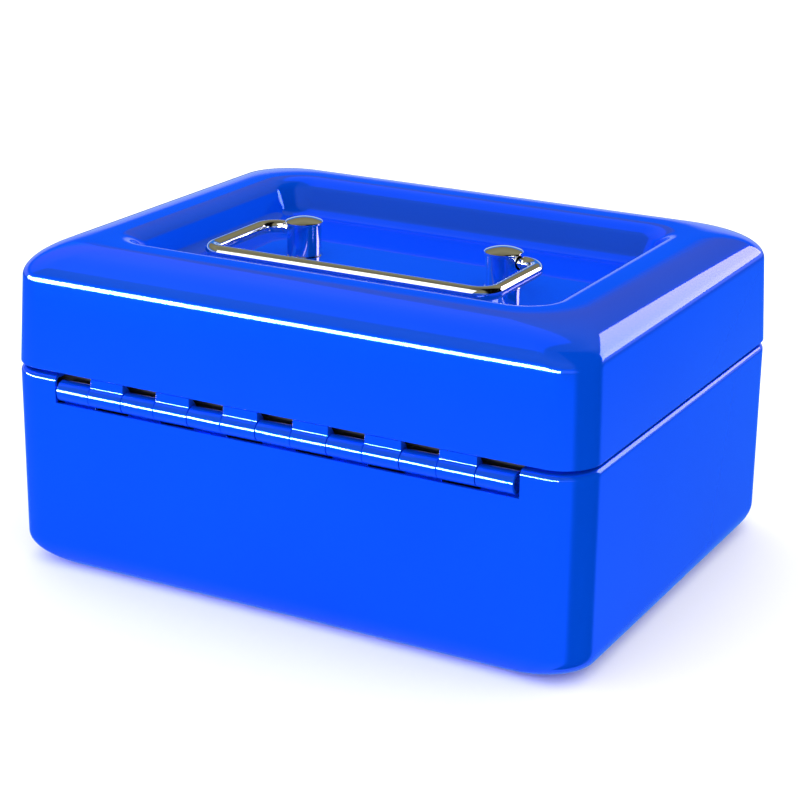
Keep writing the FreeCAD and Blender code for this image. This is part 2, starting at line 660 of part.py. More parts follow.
def lock_plug():
    """The turning plug: head with a keyway, wafer slots, spring pockets, and a square tail for the cam."""
    tail_y = LOCK_REAR_Y + CAM_GAP + CAM_SHEET - PLUG_TAIL_SHORTFALL
    tail = box_between(
        (-CAM_SQUARE / 2, LOCK_REAR_Y, LOCK_Z - CAM_SQUARE / 2),
        (CAM_SQUARE / 2, tail_y, LOCK_Z + CAM_SQUARE / 2),
    )
    head = along_y(PLUG_HEAD_RADIUS, LOCK_FACE_Y, LOCK_FACE_Y + PLUG_HEAD_LENGTH)
    plug = fused([head, along_y(PLUG_RADIUS, LOCK_FACE_Y, LOCK_REAR_Y), tail])
    keyway = box_between(
        (-KEYWAY_WIDTH / 2, LOCK_FACE_Y - CUT_MARGIN, LOCK_Z - KEYWAY_HEIGHT / 2),
        (KEYWAY_WIDTH / 2, KEYWAY_END_Y, LOCK_Z + KEYWAY_HEIGHT / 2),
    )
    screw_hole = along_y(CAM_SCREW_RADIUS, LOCK_REAR_Y - CAM_SCREW_DEPTH, tail_y + CUT_MARGIN)
    plug = plug.cut(keyway).cut(screw_hole)
    slot_sheet = WAFER_SHEET + 2 * WAFER_CLEARANCE
    slot_half_width = WAFER_HALF_WIDTH + WAFER_CLEARANCE
    slot_half_height = WAFER_HALF_HEIGHT + WAFER_CLEARANCE
    tail_half_width = WAFER_TAIL_HALF_WIDTH + WAFER_CLEARANCE
    pocket_height = SPRING_HEIGHT + 2 * SPRING_END_GAP
    for y in wafer_positions():
        wide_slot = wafer_slab(slot_half_width, slot_half_height, y, slot_sheet)
        long_slot = wafer_slab(tail_half_width, PLUG_RADIUS + CUT_MARGIN, y, slot_sheet)
        pocket_start = (SPRING_X, y, LOCK_Z - slot_half_height)
        pocket = cylinder(SPRING_RADIUS + SPRING_POCKET_CLEARANCE, pocket_start, Z_AXIS, pocket_height)
        plug = plug.cut(wide_slot).cut(long_slot).cut(pocket)
    return plug


def lock_wafers():
    """Flat wafers at the height that a key holds them: window for the key, notch for the spring."""
    wafers = []
    for y in wafer_positions():
        body = wafer_slab(WAFER_HALF_WIDTH, WAFER_HALF_HEIGHT, y, WAFER_SHEET)
        tail = wafer_slab(WAFER_TAIL_HALF_WIDTH, WAFER_TAIL_REACH, y, WAFER_SHEET)
        window = wafer_slab(WAFER_WINDOW_HALF_WIDTH, WAFER_WINDOW_HALF_HEIGHT, y, 2 * WAFER_SHEET)
        notch_x = WAFER_TAIL_HALF_WIDTH + WAFER_NOTCH_GAP
        notch_low = (notch_x, y - WAFER_SHEET, LOCK_Z - WAFER_HALF_HEIGHT - CUT_MARGIN)
        notch_high = (WAFER_HALF_WIDTH + CUT_MARGIN, y + WAFER_SHEET, LOCK_Z)
        wafers.append(fused([body, tail]).cut(window).cut(box_between(notch_low, notch_high)))
    return Part.Compound(wafers)


def wafer_springs():
    low_z = LOCK_Z - WAFER_HALF_HEIGHT - WAFER_CLEARANCE + SPRING_END_GAP / 2 + SPRING_WIRE_RADIUS
    turns_height = SPRING_HEIGHT - 2 * SPRING_WIRE_RADIUS - 2 * SPRING_END_GAP
    path = Part.Wire(Part.makeHelix(SPRING_PITCH, turns_height, SPRING_RADIUS).Edges)
    section = Part.Wire(Part.makeCircle(SPRING_WIRE_RADIUS, Vector(SPRING_RADIUS, 0, 0), Y_AXIS))
    coil = path.makePipeShell([section], True, True)
    springs = []
    for y in wafer_positions():
        spring = coil.copy()
        spring.translate(Vector(SPRING_X, y, low_z))
        springs.append(spring)
    return Part.Compound(springs)


def ring_sector(inner_radius, outer_radius, start_degrees, end_degrees, y_low, y_high):
    """Part of a flat ring about the lock's axis. Angles run from straight up towards +X."""
    sweep = end_degrees - start_degrees
    section = box_between((inner_radius, y_low, 0), (outer_radius, y_high, 1)).Faces
    flat = [face for face in section if face.BoundBox.ZMax < EDGE_SEARCH][0]
    flat.rotate(Vector(0, 0, 0), Y_AXIS, start_degrees - 90.0)
    flat.translate(Vector(0, 0, LOCK_Z))
    return flat.revolve(Vector(0, 0, LOCK_Z), Y_AXIS, sweep)


def lock_cam():
    """A hub on the plug's square tail, an arm, and a hook that runs round the lock's axis."""
    y_low = LOCK_REAR_Y + CAM_GAP
    y_high = y_low + CAM_SHEET
    hub = along_y(CAM_HUB_RADIUS, y_low, y_high)
    arm_start = HOOK_END_ANGLE - HOOK_ARM_ANGLE
    arm_inner_radius = CAM_HUB_RADIUS - CAM_ARM_OVERLAP
    arm_outer_radius = HOOK_INNER_RADIUS + CAM_ARM_OVERLAP
    arm = ring_sector(arm_inner_radius, arm_outer_radius, arm_start, HOOK_END_ANGLE, y_low, y_high)
    hook = ring_sector(HOOK_INNER_RADIUS, HOOK_OUTER_RADIUS, HOOK_START_ANGLE, HOOK_END_ANGLE, y_low, y_high)
    square = box_between(
        (-CAM_SQUARE / 2, y_low - CUT_MARGIN, LOCK_Z - CAM_SQUARE / 2),
        (CAM_SQUARE / 2, y_high + CUT_MARGIN, LOCK_Z + CAM_SQUARE / 2),
    )
    return fused([hub, arm, hook]).cut(square)


def cam_washer():
    y_low = LOCK_REAR_Y + CAM_GAP + CAM_SHEET
    y_high = y_low + CAM_WASHER_SHEET
    return along_y(CAM_WASHER_RADIUS, y_low, y_high).cut(along_y(CAM_SCREW_RADIUS, y_low, y_high))


def cam_screw():
    head_y = LOCK_REAR_Y + CAM_GAP + CAM_SHEET + CAM_WASHER_SHEET
    head_end_y = head_y + CAM_SCREW_HEAD_HEIGHT
    shank = along_y(CAM_SCREW_RADIUS, LOCK_REAR_Y - CAM_SCREW_DEPTH, head_y)
    head = along_y(CAM_SCREW_HEAD_RADIUS, head_y, head_end_y)
    head = head.makeFillet(CAM_SCREW_HEAD_ROUND, closed_edges(head, "YMin", head_end_y))
    slot_reach = CAM_SCREW_HEAD_RADIUS + CUT_MARGIN
    slot = box_between(
        (-slot_reach, head_end_y - CAM_SCREW_SLOT, LOCK_Z - CAM_SCREW_SLOT / 2),
        (slot_reach, head_end_y + CUT_MARGIN, LOCK_Z + CAM_SCREW_SLOT / 2),
    )
    return fused([shank, head]).cut(slot)


def strike_plate():
    """Welded to the lid's front wall, with a blade that drops behind the lip and a window for the hook."""
    low_z = STRIKE_FLANGE_LOW_Z
    high_z = STRIKE_FLANGE_HIGH_Z
    flange = prism_along_x(
        [
            (-lid_inner_wall_y(low_z), low_z),
            (-lid_inner_wall_y(high_z), high_z),
            (-lid_inner_wall_y(high_z) + STRIKE_SHEET, high_z),
            (-lid_inner_wall_y(low_z) + STRIKE_SHEET, low_z),
        ],
        -STRIKE_FLANGE_WIDTH / 2, STRIKE_FLANGE_WIDTH / 2,
    )
    window_low_z = LOCK_Z + HOOK_INNER_RADIUS - STRIKE_LOW_CLEARANCE
    window_high_z = LOCK_Z + HOOK_OUTER_RADIUS + STRIKE_CLEARANCE
    blade_low_z = window_low_z - STRIKE_LOWER_BAR
    blade_high_z = high_z - STRIKE_BLADE_SETBACK
    root_y = -lid_inner_wall_y(low_z) + STRIKE_SHEET / 2
    blade = prism_along_x(
        [
            (root_y, low_z),
            (root_y, blade_high_z),
            (STRIKE_REAR_Y, blade_high_z),
            (STRIKE_REAR_Y, blade_low_z),
            (STRIKE_FRONT_Y, blade_low_z),
            (STRIKE_FRONT_Y, low_z),
        ],
        -STRIKE_SHEET / 2, STRIKE_SHEET / 2,
    )
    cam_low_y = LOCK_REAR_Y + CAM_GAP
    window = box_between(
        (-STRIKE_SHEET, cam_low_y - STRIKE_SIDE_CLEARANCE, window_low_z),
        (STRIKE_SHEET, cam_low_y + CAM_SHEET + STRIKE_SIDE_CLEARANCE, window_high_z),
    )
    return fused([flange, blade]).cut(window)


# ---------------------------------------------------------------- coin tray

def outline_prism(inset, corner_radius, z_low, z_high):
    return Part.Face(rounded_rectangle(inset, corner_radius, z_low)).extrude(Vector(0, 0, z_high - z_low))


def tray_pocket(x_low, x_high, y_low, y_high):
    """One compartment: rounded corners, and a scooped foot that coins slide up."""
    low = (x_low, y_low, TRAY_BOTTOM_Z + TRAY_WALL)
    block = box_between(low, (x_high, y_high, TRAY_TOP_Z + CUT_MARGIN))
    upright = [edge for edge in block.Edges if edge.BoundBox.ZLength > EDGE_SEARCH]
    block = block.makeFillet(TRAY_POCKET_CORNER, upright)
    foot = [edge for edge in block.Edges if edge.BoundBox.ZMax < low[2] + EDGE_SEARCH]
    return block.makeFillet(TRAY_POCKET_FOOT, foot)


def coin_tray():
    """Four coin cups round the lock's bay, one cup behind it, and a long compartment along the hinge side."""
    side_x = BOX_LENGTH / 2 - TRAY_INSET - TRAY_WALL
    front_y = -(BOX_WIDTH / 2 - TRAY_INSET - TRAY_WALL)
    cup_x = TRAY_LOCK_HALF_WIDTH + TRAY_WALL
    body = outline_prism(TRAY_INSET, CORNER_RADIUS - TRAY_INSET, TRAY_BOTTOM_Z, TRAY_TOP_Z)
    flange_low_z = TRAY_TOP_Z - TRAY_FLANGE_SHEET
    flange = outline_prism(TRAY_FLANGE_INSET, TRAY_FLANGE_CORNER_RADIUS, flange_low_z, TRAY_TOP_Z)
    lock_bay = box_between(
        (-TRAY_LOCK_HALF_WIDTH, -BOX_WIDTH / 2, TRAY_BOTTOM_Z - CUT_MARGIN),
        (TRAY_LOCK_HALF_WIDTH, TRAY_LOCK_Y, TRAY_TOP_Z + CUT_MARGIN),
    )
    tray = fused([body, flange]).cut(lock_bay)
    half_wall = TRAY_WALL / 2
    note_bay = tray_pocket(-side_x, side_x, TRAY_NOTE_WALL_Y + half_wall, -front_y)
    rear_cup_y = TRAY_NOTE_WALL_Y - half_wall
    middle_cup = tray_pocket(
        -TRAY_LOCK_HALF_WIDTH, TRAY_LOCK_HALF_WIDTH, TRAY_LOCK_Y + TRAY_WALL, rear_cup_y,
    )
    pockets = [note_bay, middle_cup]
    for x_low, x_high in ((-side_x, -cup_x), (cup_x, side_x)):
        pockets.append(tray_pocket(x_low, x_high, front_y, TRAY_COIN_WALL_Y - half_wall))
        pockets.append(tray_pocket(x_low, x_high, TRAY_COIN_WALL_Y + half_wall, rear_cup_y))
    for pocket in pockets:
        tray = tray.cut(pocket)
    return tray


# ---------------------------------------------------------------- output

PARTS = {
    "base_shell": base_shell,
    "hinge_base_leaf": hinge_base_leaf,
    "hinge_pin": hinge_pin,
    "lock_housing": lock_housing,
    "lock_nut": lock_nut,
    "lid_shell": lid_shell,
    "hinge_lid_leaf": hinge_lid_leaf,
    "handle_post_left": handle_post_left,
    "handle_post_right": handle_post_right,
    "post_screws": post_screws,
    "post_washers": post_washers,
    "strike_plate": strike_plate,
    "handle_bail": handle_bail,
    "lock_plug": lock_plug,
    "lock_wafers": lock_wafers,
    "wafer_springs": wafer_springs,
    "lock_cam": lock_cam,
    "cam_washer": cam_washer,
    "cam_screw": cam_screw,
    "coin_tray": coin_tray,
}

os.makedirs("parts", exist_ok=True)
for node, make in PARTS.items():
    shape = make()
    shape.exportStep("parts/" + node + ".step")
    print(node, "solids", len(shape.Solids), "valid", shape.isValid(), "mm3", round(shape.Volume, 1))
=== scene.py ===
import math

import bmesh
import bpy
from mathutils import Matrix, Vector

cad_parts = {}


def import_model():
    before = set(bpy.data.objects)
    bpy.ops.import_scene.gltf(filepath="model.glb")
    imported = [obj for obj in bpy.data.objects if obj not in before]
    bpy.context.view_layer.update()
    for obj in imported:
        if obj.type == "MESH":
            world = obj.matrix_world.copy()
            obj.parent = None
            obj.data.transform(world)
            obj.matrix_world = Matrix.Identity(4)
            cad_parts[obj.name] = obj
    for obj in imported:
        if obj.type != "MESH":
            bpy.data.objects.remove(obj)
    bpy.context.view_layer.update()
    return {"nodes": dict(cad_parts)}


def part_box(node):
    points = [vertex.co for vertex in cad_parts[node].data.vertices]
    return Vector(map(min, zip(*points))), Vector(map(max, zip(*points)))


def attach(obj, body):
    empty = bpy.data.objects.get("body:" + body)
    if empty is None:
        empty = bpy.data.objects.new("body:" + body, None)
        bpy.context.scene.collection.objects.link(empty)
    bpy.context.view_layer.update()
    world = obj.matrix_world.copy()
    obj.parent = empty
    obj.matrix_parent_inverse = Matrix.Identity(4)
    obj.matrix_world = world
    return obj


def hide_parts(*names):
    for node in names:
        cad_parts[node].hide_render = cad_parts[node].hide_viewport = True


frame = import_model()
nodes = frame["nodes"]
MM = 0.001

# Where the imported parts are
base_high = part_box("base_shell")[1]
lid_low, lid_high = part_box("lid_shell")
pin_low, pin_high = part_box("hinge_pin")
base_leaf_low, base_leaf_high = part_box("hinge_base_leaf")
post_low, post_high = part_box("handle_post_right")
bail_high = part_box("handle_bail")[1]

# Sheet metal and its plan
HALF_LENGTH = base_high.x
HALF_WIDTH = base_high.y
SHEET = 0.8 * MM
CORNER = 9.5 * MM
EDGE_ROUND = 0.22 * MM

# Base shell
BOTTOM_ROUND = 7 * MM
BOTTOM_CORNER = 19 * MM
SHOULDER_Z = 50 * MM
SHOULDER_ROUND = 1.5 * MM
WALL_SUPPORT = 0.6 * MM
LIP_INSET = 3.4 * MM
LIP_TOP = base_high.z
LIP_FLARE = 0.4 * MM
LIP_FLARE_RISE = 0.2 * MM
NOTCH_HALF = base_leaf_high.x + 1 * MM
NOTCH_Z = 43.3 * MM

# Lid shell
SEAM_Z = lid_low.z
LID_TOP = lid_high.z
LID_DRAFT = 0.9 * MM
ROUND_RUN = 12.4 * MM
ROUND_RISE = 8 * MM
CREST_CORNER = 15.3 * MM
DISH_INSET = 17 * MM
DISH_DEPTH = 9 * MM
DISH_EDGE = 5 * MM
DISH_FOOT = 4 * MM
DISH_SLOPE = math.radians(65)
DISH_RIM_CORNER = 11 * MM
DISH_FOOT_CORNER = 4 * MM
DISH_FLOOR_Z = LID_TOP - DISH_DEPTH
LID_WALL_TOP = LID_TOP - ROUND_RISE
LID_WALL_SUPPORT = 0.5 * MM

# Hinge: the base has the odd knuckles, the lid the even ones
HINGE_Y = (pin_low.y + pin_high.y) / 2
HINGE_Z = (pin_low.z + pin_high.z) / 2
KNUCKLES = 13
KNUCKLE_PITCH = 2 * base_leaf_high.x / KNUCKLES
KNUCKLE_RADIUS = 2.6 * MM
KNUCKLE_BORE = 1.8 * MM
KNUCKLE_GAP = 0.16 * MM
BARREL_HALF = KNUCKLES * KNUCKLE_PITCH / 2
BARREL_INSIDE_Y = HINGE_Y - KNUCKLE_RADIUS
LEAF_GAP = 0.1 * MM
LEAF_BEVEL = 0.1 * MM
JOGGLE_Z = 41 * MM
BASE_TONGUE_GAP = 0.05 * MM
BASE_TONGUE_LAP = 0.01 * MM
BASE_TONGUE_FOOT = 1 * MM
BASE_TONGUE_BEND = 0.5 * MM
BASE_TONGUE_Z = 44.7 * MM
LID_LEAF_LOW = SEAM_Z + 0.3 * MM
LID_LEAF_TOP = 64 * MM
LID_TONGUE_INSET = 0.15 * MM
LID_TONGUE_FILLET = 0.8 * MM
LID_TONGUE_RISE = 1.3 * MM

# Handle posts
POST_X = (post_low.x + post_high.x) / 2
POST_RADIUS = 4.3 * MM
POST_FOOT = 0.25 * MM
POST_FOOT_RISE = 0.02 * MM
POST_CAP_RADIUS = 4.7 * MM
POST_CAP_SHEET = 0.7 * MM
POST_CAP_UNDER = 0.3 * MM
POST_RIM_Z = 79.6 * MM
POST_RIM_DROP = 0.12 * MM
POST_DOME = 1 * MM
POST_BORE_DEPTH = 4.7 * MM
SCREW_HOLE = 2 * MM
SCREW_HOLE_LENGTH = 5 * MM
LID_HOLE_START = 3 * MM

# Handle wire
PIVOT_Z = 77.2 * MM
WIRE = 1.7 * MM
STUB = 1.45 * MM
STUB_CLEARANCE = 0.35 * MM
STUB_CHAMFER = 0.2 * MM
STUB_DEPTH = 4.4 * MM
STUB_BARE = 0.8 * MM
ARM_BEND = 5 * MM
BAR_BEND = 4.6 * MM

# Lock
LOCK_Z = 33.5 * MM
LOCK_HOLE = 7 * MM

# How finely the meshes are drawn
CUT_MARGIN = 1 * MM
CORNER_STEPS = 20
ROUND_STEPS = 20
LID_ROUND_STEPS = 24
SHOULDER_STEPS = 10
EDGE_STEPS = 4
POST_FOOT_STEPS = 5
POST_CAP_STEPS = 6
DOME_STEPS = 24
FILLET_STEPS = 8
BARREL_STEPS = 40
COLLAR_STEPS = 6
BEND_STEPS = 18
LATHE_SEGMENTS = 64
WIRE_SEGMENTS = 48
BEVEL_SEGMENTS = 3
SMOOTH_ANGLE = math.radians(32)


# ---------------------------------------------------------------- meshes

def new_piece(name, mesh, body, slot, cad_node):
    """A finished piece: it rides on a body, wears its slot's look and stands for one CAD node."""
    piece = bpy.data.objects.new(name, mesh)
    bpy.context.scene.collection.objects.link(piece)
    mesh.materials.append(LOOKS[slot])
    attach(piece, body)
    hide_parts(cad_node)
    return piece


def mesh_of(bm, name):
    """A finished mesh with its normals outwards."""
    bmesh.ops.recalc_face_normals(bm, faces=bm.faces)
    mesh = bpy.data.meshes.new(name)
    bm.to_mesh(mesh)
    bm.free()
    smooth_by_angle(mesh)
    return mesh


def smooth_by_angle(mesh):
    """Smooth faces, with sharp edges where two faces meet steeply."""
    mesh.polygons.foreach_set("use_smooth", [True] * len(mesh.polygons))
    mesh.set_sharp_from_angle(angle=SMOOTH_ANGLE)
    mesh.update()


def outline(inset, radius, z):
    """The box's plan outline at one height, drawn in from its faces."""
    half_x = HALF_LENGTH - inset
    half_y = HALF_WIDTH - inset
    points = []
    for quarter, (sx, sy) in enumerate(((1, 1), (-1, 1), (-1, -1), (1, -1))):
        for step in range(CORNER_STEPS + 1):
            angle = math.pi / 2 * (quarter + step / CORNER_STEPS)
            x = sx * (half_x - radius) + radius * math.cos(angle)
            y = sy * (half_y - radius) + radius * math.sin(angle)
            points.append(Vector((x, y, z)))
    return points


def skin_mesh(rings, name):
    """Quads through a run of outlines, with a flat face over the first and the last."""
    bm = bmesh.new()
    rows = [[bm.verts.new(p) for p in outline(*ring)] for ring in rings]
    for low, high in zip(rows, rows[1:]):
        count = len(low)
        for i in range(count):
            j = (i + 1) % count
            bm.faces.new((low[i], low[j], high[j], high[i]))
    bm.faces.new(rows[0][::-1])
    bm.faces.new(rows[-1])
    return mesh_of(bm, name)


def cut(mesh, cutters):
    """The mesh with boxes and rods taken out of it."""
    target = bpy.data.objects.new("cut_target", mesh)
    bpy.context.scene.collection.objects.link(target)
    tools = []
    for bm in cutters:
        bmesh.ops.recalc_face_normals(bm, faces=bm.faces)
        tool_mesh = bpy.data.meshes.new("cutter")
        bm.to_mesh(tool_mesh)
        bm.free()
        tool = bpy.data.objects.new("cutter", tool_mesh)
        bpy.context.scene.collection.objects.link(tool)
        modifier = target.modifiers.new("cut", "BOOLEAN")
        modifier.operation = "DIFFERENCE"
        modifier.solver = "EXACT"
        modifier.object = tool
        tools.append(tool)
    evaluated = target.evaluated_get(bpy.context.evaluated_depsgraph_get())
    result = bpy.data.meshes.new_from_object(evaluated)
    for scratch in tools + [target]:
        bpy.data.objects.remove(scratch)
    smooth_by_angle(result)
    return result


def box_cutter(low, high):
    bm = bmesh.new()
    middle = (Vector(low) + Vector(high)) / 2
    size = Vector(high) - Vector(low)
    bmesh.ops.create_cube(bm, size=1, matrix=Matrix.Translation(middle) @ Matrix.Diagonal((*size, 1)))
    return bm


def rod_cutter(radius, start, direction, length):
    bm = bmesh.new()
    turn = Vector(direction).to_track_quat("Z", "Y").to_matrix().to_4x4()
    middle = Vector(start) + Vector(direction) * length / 2
    bmesh.ops.create_cone(bm, cap_ends=True, segments=LATHE_SEGMENTS, radius1=radius, radius2=radius,
                          depth=length, matrix=Matrix.Translation(middle) @ turn)
    return bm


def quarter(steps):
    """The angles from 0 to 90 degrees in equal steps."""
    return [math.pi / 2 * step / steps for step in range(steps + 1)]


# ---------------------------------------------------------------- base shell

def bottom_round(depth):
    """The rounded foot, on the outer face or one sheet's depth inside it."""
    rings = []
    for angle in quarter(ROUND_STEPS):
        growth = (BOTTOM_CORNER - CORNER) * (1 - math.sin(angle))
        reach = BOTTOM_ROUND - depth
        inset = BOTTOM_ROUND - reach * math.sin(angle)
        z = BOTTOM_ROUND - reach * math.cos(angle)
        rings.append((inset, CORNER + growth - depth * math.sin(angle), z))
    return rings


def shoulder_round(depth):
    """The round where the wall turns in under the lid's edge."""
    rings = []
    for angle in quarter(SHOULDER_STEPS):
        reach = SHOULDER_ROUND - depth
        inset = SHOULDER_ROUND - reach * math.cos(angle)
        z = SHOULDER_Z - SHOULDER_ROUND + reach * math.sin(angle)
        rings.append((inset, CORNER - inset, z))
    return rings


def lip_ring(depth, z):
    return (LIP_INSET + depth, CORNER - LIP_INSET - depth, z)


def rolled_edge(outer_inset, inner_inset, z, downward):
    """The cut edge of the sheet, with its paint drawn round both corners."""
    rounds = []
    for angle in quarter(EDGE_STEPS):
        height = z + downward * EDGE_ROUND * (1 - math.sin(angle))
        rounds.append((EDGE_ROUND * (1 - math.cos(angle)), height))
    rings = [(outer_inset + shift, height) for shift, height in rounds]
    rings += [(inner_inset - shift, height) for shift, height in reversed(rounds)]
    return [(inset, CORNER - inset, height) for inset, height in rings]


def base_mesh():
    """The base pressing, up its outside, over the lip and down inside, with the notch and the lock's hole."""
    wall_low = BOTTOM_ROUND + WALL_SUPPORT
    wall_high = SHOULDER_Z - SHOULDER_ROUND - WALL_SUPPORT
    rings = bottom_round(0)
    rings.append((0, CORNER, wall_low))
    rings.append((0, CORNER, wall_high))
    rings += shoulder_round(0)
    rings.append(lip_ring(-LIP_FLARE, SHOULDER_Z))
    rings.append(lip_ring(0, SHOULDER_Z + LIP_FLARE_RISE))
    rings += rolled_edge(LIP_INSET, LIP_INSET + SHEET, LIP_TOP, -1)
    rings.append(lip_ring(SHEET, SHOULDER_Z - SHEET))
    rings += shoulder_round(SHEET)[::-1]
    rings.append((SHEET, CORNER - SHEET, wall_high))
    rings.append((SHEET, CORNER - SHEET, wall_low))
    rings += bottom_round(SHEET)[::-1]
    mesh = skin_mesh(rings, "base_shell_pressed")
    notch_low = (-NOTCH_HALF, BARREL_INSIDE_Y - CUT_MARGIN, NOTCH_Z)
    notch_high = (NOTCH_HALF, HALF_WIDTH + CUT_MARGIN, LIP_TOP + CUT_MARGIN)
    lock_start = (0, -HALF_WIDTH - CUT_MARGIN, LOCK_Z)
    lock_hole = rod_cutter(LOCK_HOLE, lock_start, (0, 1, 0), SHEET + 2 * CUT_MARGIN)
    return cut(mesh, [box_cutter(notch_low, notch_high), lock_hole])


# ---------------------------------------------------------------- lid shell

def lid_round(depth):
    """The wide elliptical round from the wall to the crest, without the ring at the wall's top."""
    rings = []
    for angle in quarter(LID_ROUND_STEPS)[1:]:
        along = math.cos(angle) / ROUND_RUN
        upward = math.sin(angle) / ROUND_RISE
        unit = math.hypot(along, upward)
        drop_in = depth * along / unit
        drop_down = depth * upward / unit
        inset = LID_DRAFT + ROUND_RUN * (1 - math.cos(angle)) + drop_in
        growth = (CREST_CORNER - CORNER) * (1 - math.cos(angle))
        z = LID_TOP - ROUND_RISE * (1 - math.sin(angle)) - drop_down
        rings.append((inset, CORNER + growth - drop_in, z))
    return rings


def dish_centres():
    """The inset of the dish's foot, and the heights of the two rounds' centres."""
    drop = DISH_DEPTH - (DISH_EDGE + DISH_FOOT) * (1 - math.cos(DISH_SLOPE))
    foot_inset = DISH_INSET + (DISH_EDGE + DISH_FOOT) * math.sin(DISH_SLOPE) + drop / math.tan(DISH_SLOPE)
    return foot_inset, LID_TOP - DISH_EDGE, DISH_FLOOR_Z + DISH_FOOT


def dish_corner(inset):
    """The dish's plan corner, which tightens from the rim to the foot."""
    share = (inset - DISH_INSET) / (dish_centres()[0] - DISH_INSET)
    return DISH_RIM_CORNER + (DISH_FOOT_CORNER - DISH_RIM_CORNER) * share


def dish_edge(depth):
    """The round over the dish's rim."""
    rings = []
    for step in range(ROUND_STEPS + 1):
        angle = DISH_SLOPE * step / ROUND_STEPS
        skin_inset = DISH_INSET + DISH_EDGE * math.sin(angle)
        shift = depth * math.sin(angle)
        z = dish_centres()[1] + (DISH_EDGE - depth) * math.cos(angle)
        rings.append((skin_inset - shift, dish_corner(skin_inset) + shift, z))
    return rings


def dish_foot(depth):
    """The hollow round at the foot of the dish's slope."""
    foot_inset, _, foot_z = dish_centres()
    rings = []
    for step in range(ROUND_STEPS + 1):
        angle = DISH_SLOPE * (1 - step / ROUND_STEPS)
        skin_inset = foot_inset - DISH_FOOT * math.sin(angle)
        shift = depth * math.sin(angle)
        z = foot_z - (DISH_FOOT + depth) * math.cos(angle)
        rings.append((skin_inset - shift, dish_corner(skin_inset) + shift, z))
    return rings


def lid_mesh():
    """The lid pressing, from the dish to its edge and back inside, with the posts' screw holes."""
    support_draft = LID_DRAFT * LID_WALL_SUPPORT / (LID_WALL_TOP - SEAM_Z)
    rings = dish_foot(0)[::-1] + dish_edge(0)[::-1] + lid_round(0)[::-1]
    rings.append((LID_DRAFT, CORNER, LID_WALL_TOP))
    rings.append((LID_DRAFT - support_draft, CORNER, LID_WALL_TOP - LID_WALL_SUPPORT))
    rings += rolled_edge(0, SHEET, SEAM_Z, 1)
    rings += lid_round(SHEET) + dish_edge(SHEET) + dish_foot(SHEET)
    mesh = skin_mesh(rings, "lid_shell_pressed")
    holes = []
    for side in (-1, 1):
        start = (side * POST_X, 0, DISH_FLOOR_Z - LID_HOLE_START)
        holes.append(rod_cutter(SCREW_HOLE, start, (0, 0, 1), SCREW_HOLE_LENGTH))
    return cut(mesh, holes)


# ---------------------------------------------------------------- hinge leaves

def extrude_outline(bm, points_yz, x_low, x_high, round_size):
    """A solid of one YZ outline along X, its end edges rounded off."""
    low = [bm.verts.new((x_low, y, z)) for y, z in points_yz]
    high = [bm.verts.new((x_high, y, z)) for y, z in points_yz]
    count = len(low)
    for i in range(count):
        j = (i + 1) % count
        bm.faces.new((low[i], low[j], high[j], high[i]))
    ends = [bm.faces.new(low[::-1]), bm.faces.new(high)]
    rims = [edge for end in ends for edge in end.edges]
    bmesh.ops.bevel(bm, geom=rims, offset=round_size, segments=BEVEL_SEGMENTS, profile=0.5,
                    affect="EDGES", clamp_overlap=True)


def lathe(bm, profile, centre, axis, closed):
    """Turns a run of (along, radius) points about an axis."""
    rows = []
    for along, radius in profile:
        row = []
        for i in range(LATHE_SEGMENTS):
            angle = 2 * math.pi * i / LATHE_SEGMENTS
            a = radius * math.cos(angle)
            b = radius * math.sin(angle)
            offset = Vector((along, a, b)) if axis == "X" else Vector((a, b, along))
            row.append(bm.verts.new(centre + offset))
        rows.append(row)
    pairs = list(zip(rows, rows[1:]))
    if closed:
        pairs.append((rows[-1], rows[0]))
    for low, high in pairs:
        for i in range(LATHE_SEGMENTS):
            j = (i + 1) % LATHE_SEGMENTS
            bm.faces.new((low[i], low[j], high[j], high[i]))
    if not closed:
        bm.faces.new(rows[0][::-1])
        bm.faces.new(rows[-1])


def barrel_rings(bm, x_low, x_high):
    """One rolled knuckle: outer skin, rounded ends and the bore."""
    rounded = []
    for angle in reversed(quarter(EDGE_STEPS)):
        x = x_low + EDGE_ROUND * (1 - math.sin(angle))
        rounded.append((x, KNUCKLE_RADIUS - EDGE_ROUND * (1 - math.cos(angle))))
    mirrored = [(x_low + x_high - x, r) for x, r in reversed(rounded)]
    profile = [(x_low, KNUCKLE_BORE)] + rounded + mirrored + [(x_high, KNUCKLE_BORE)]
    lathe(bm, profile, Vector((0, HINGE_Y, HINGE_Z)), "X", True)


def knuckle_span(index):
    """Where one knuckle starts and ends along X, counted from the box's +X end."""
    start = BARREL_HALF - KNUCKLE_PITCH * (index + 1)
    return start + KNUCKLE_GAP / 2, start + KNUCKLE_PITCH - KNUCKLE_GAP / 2


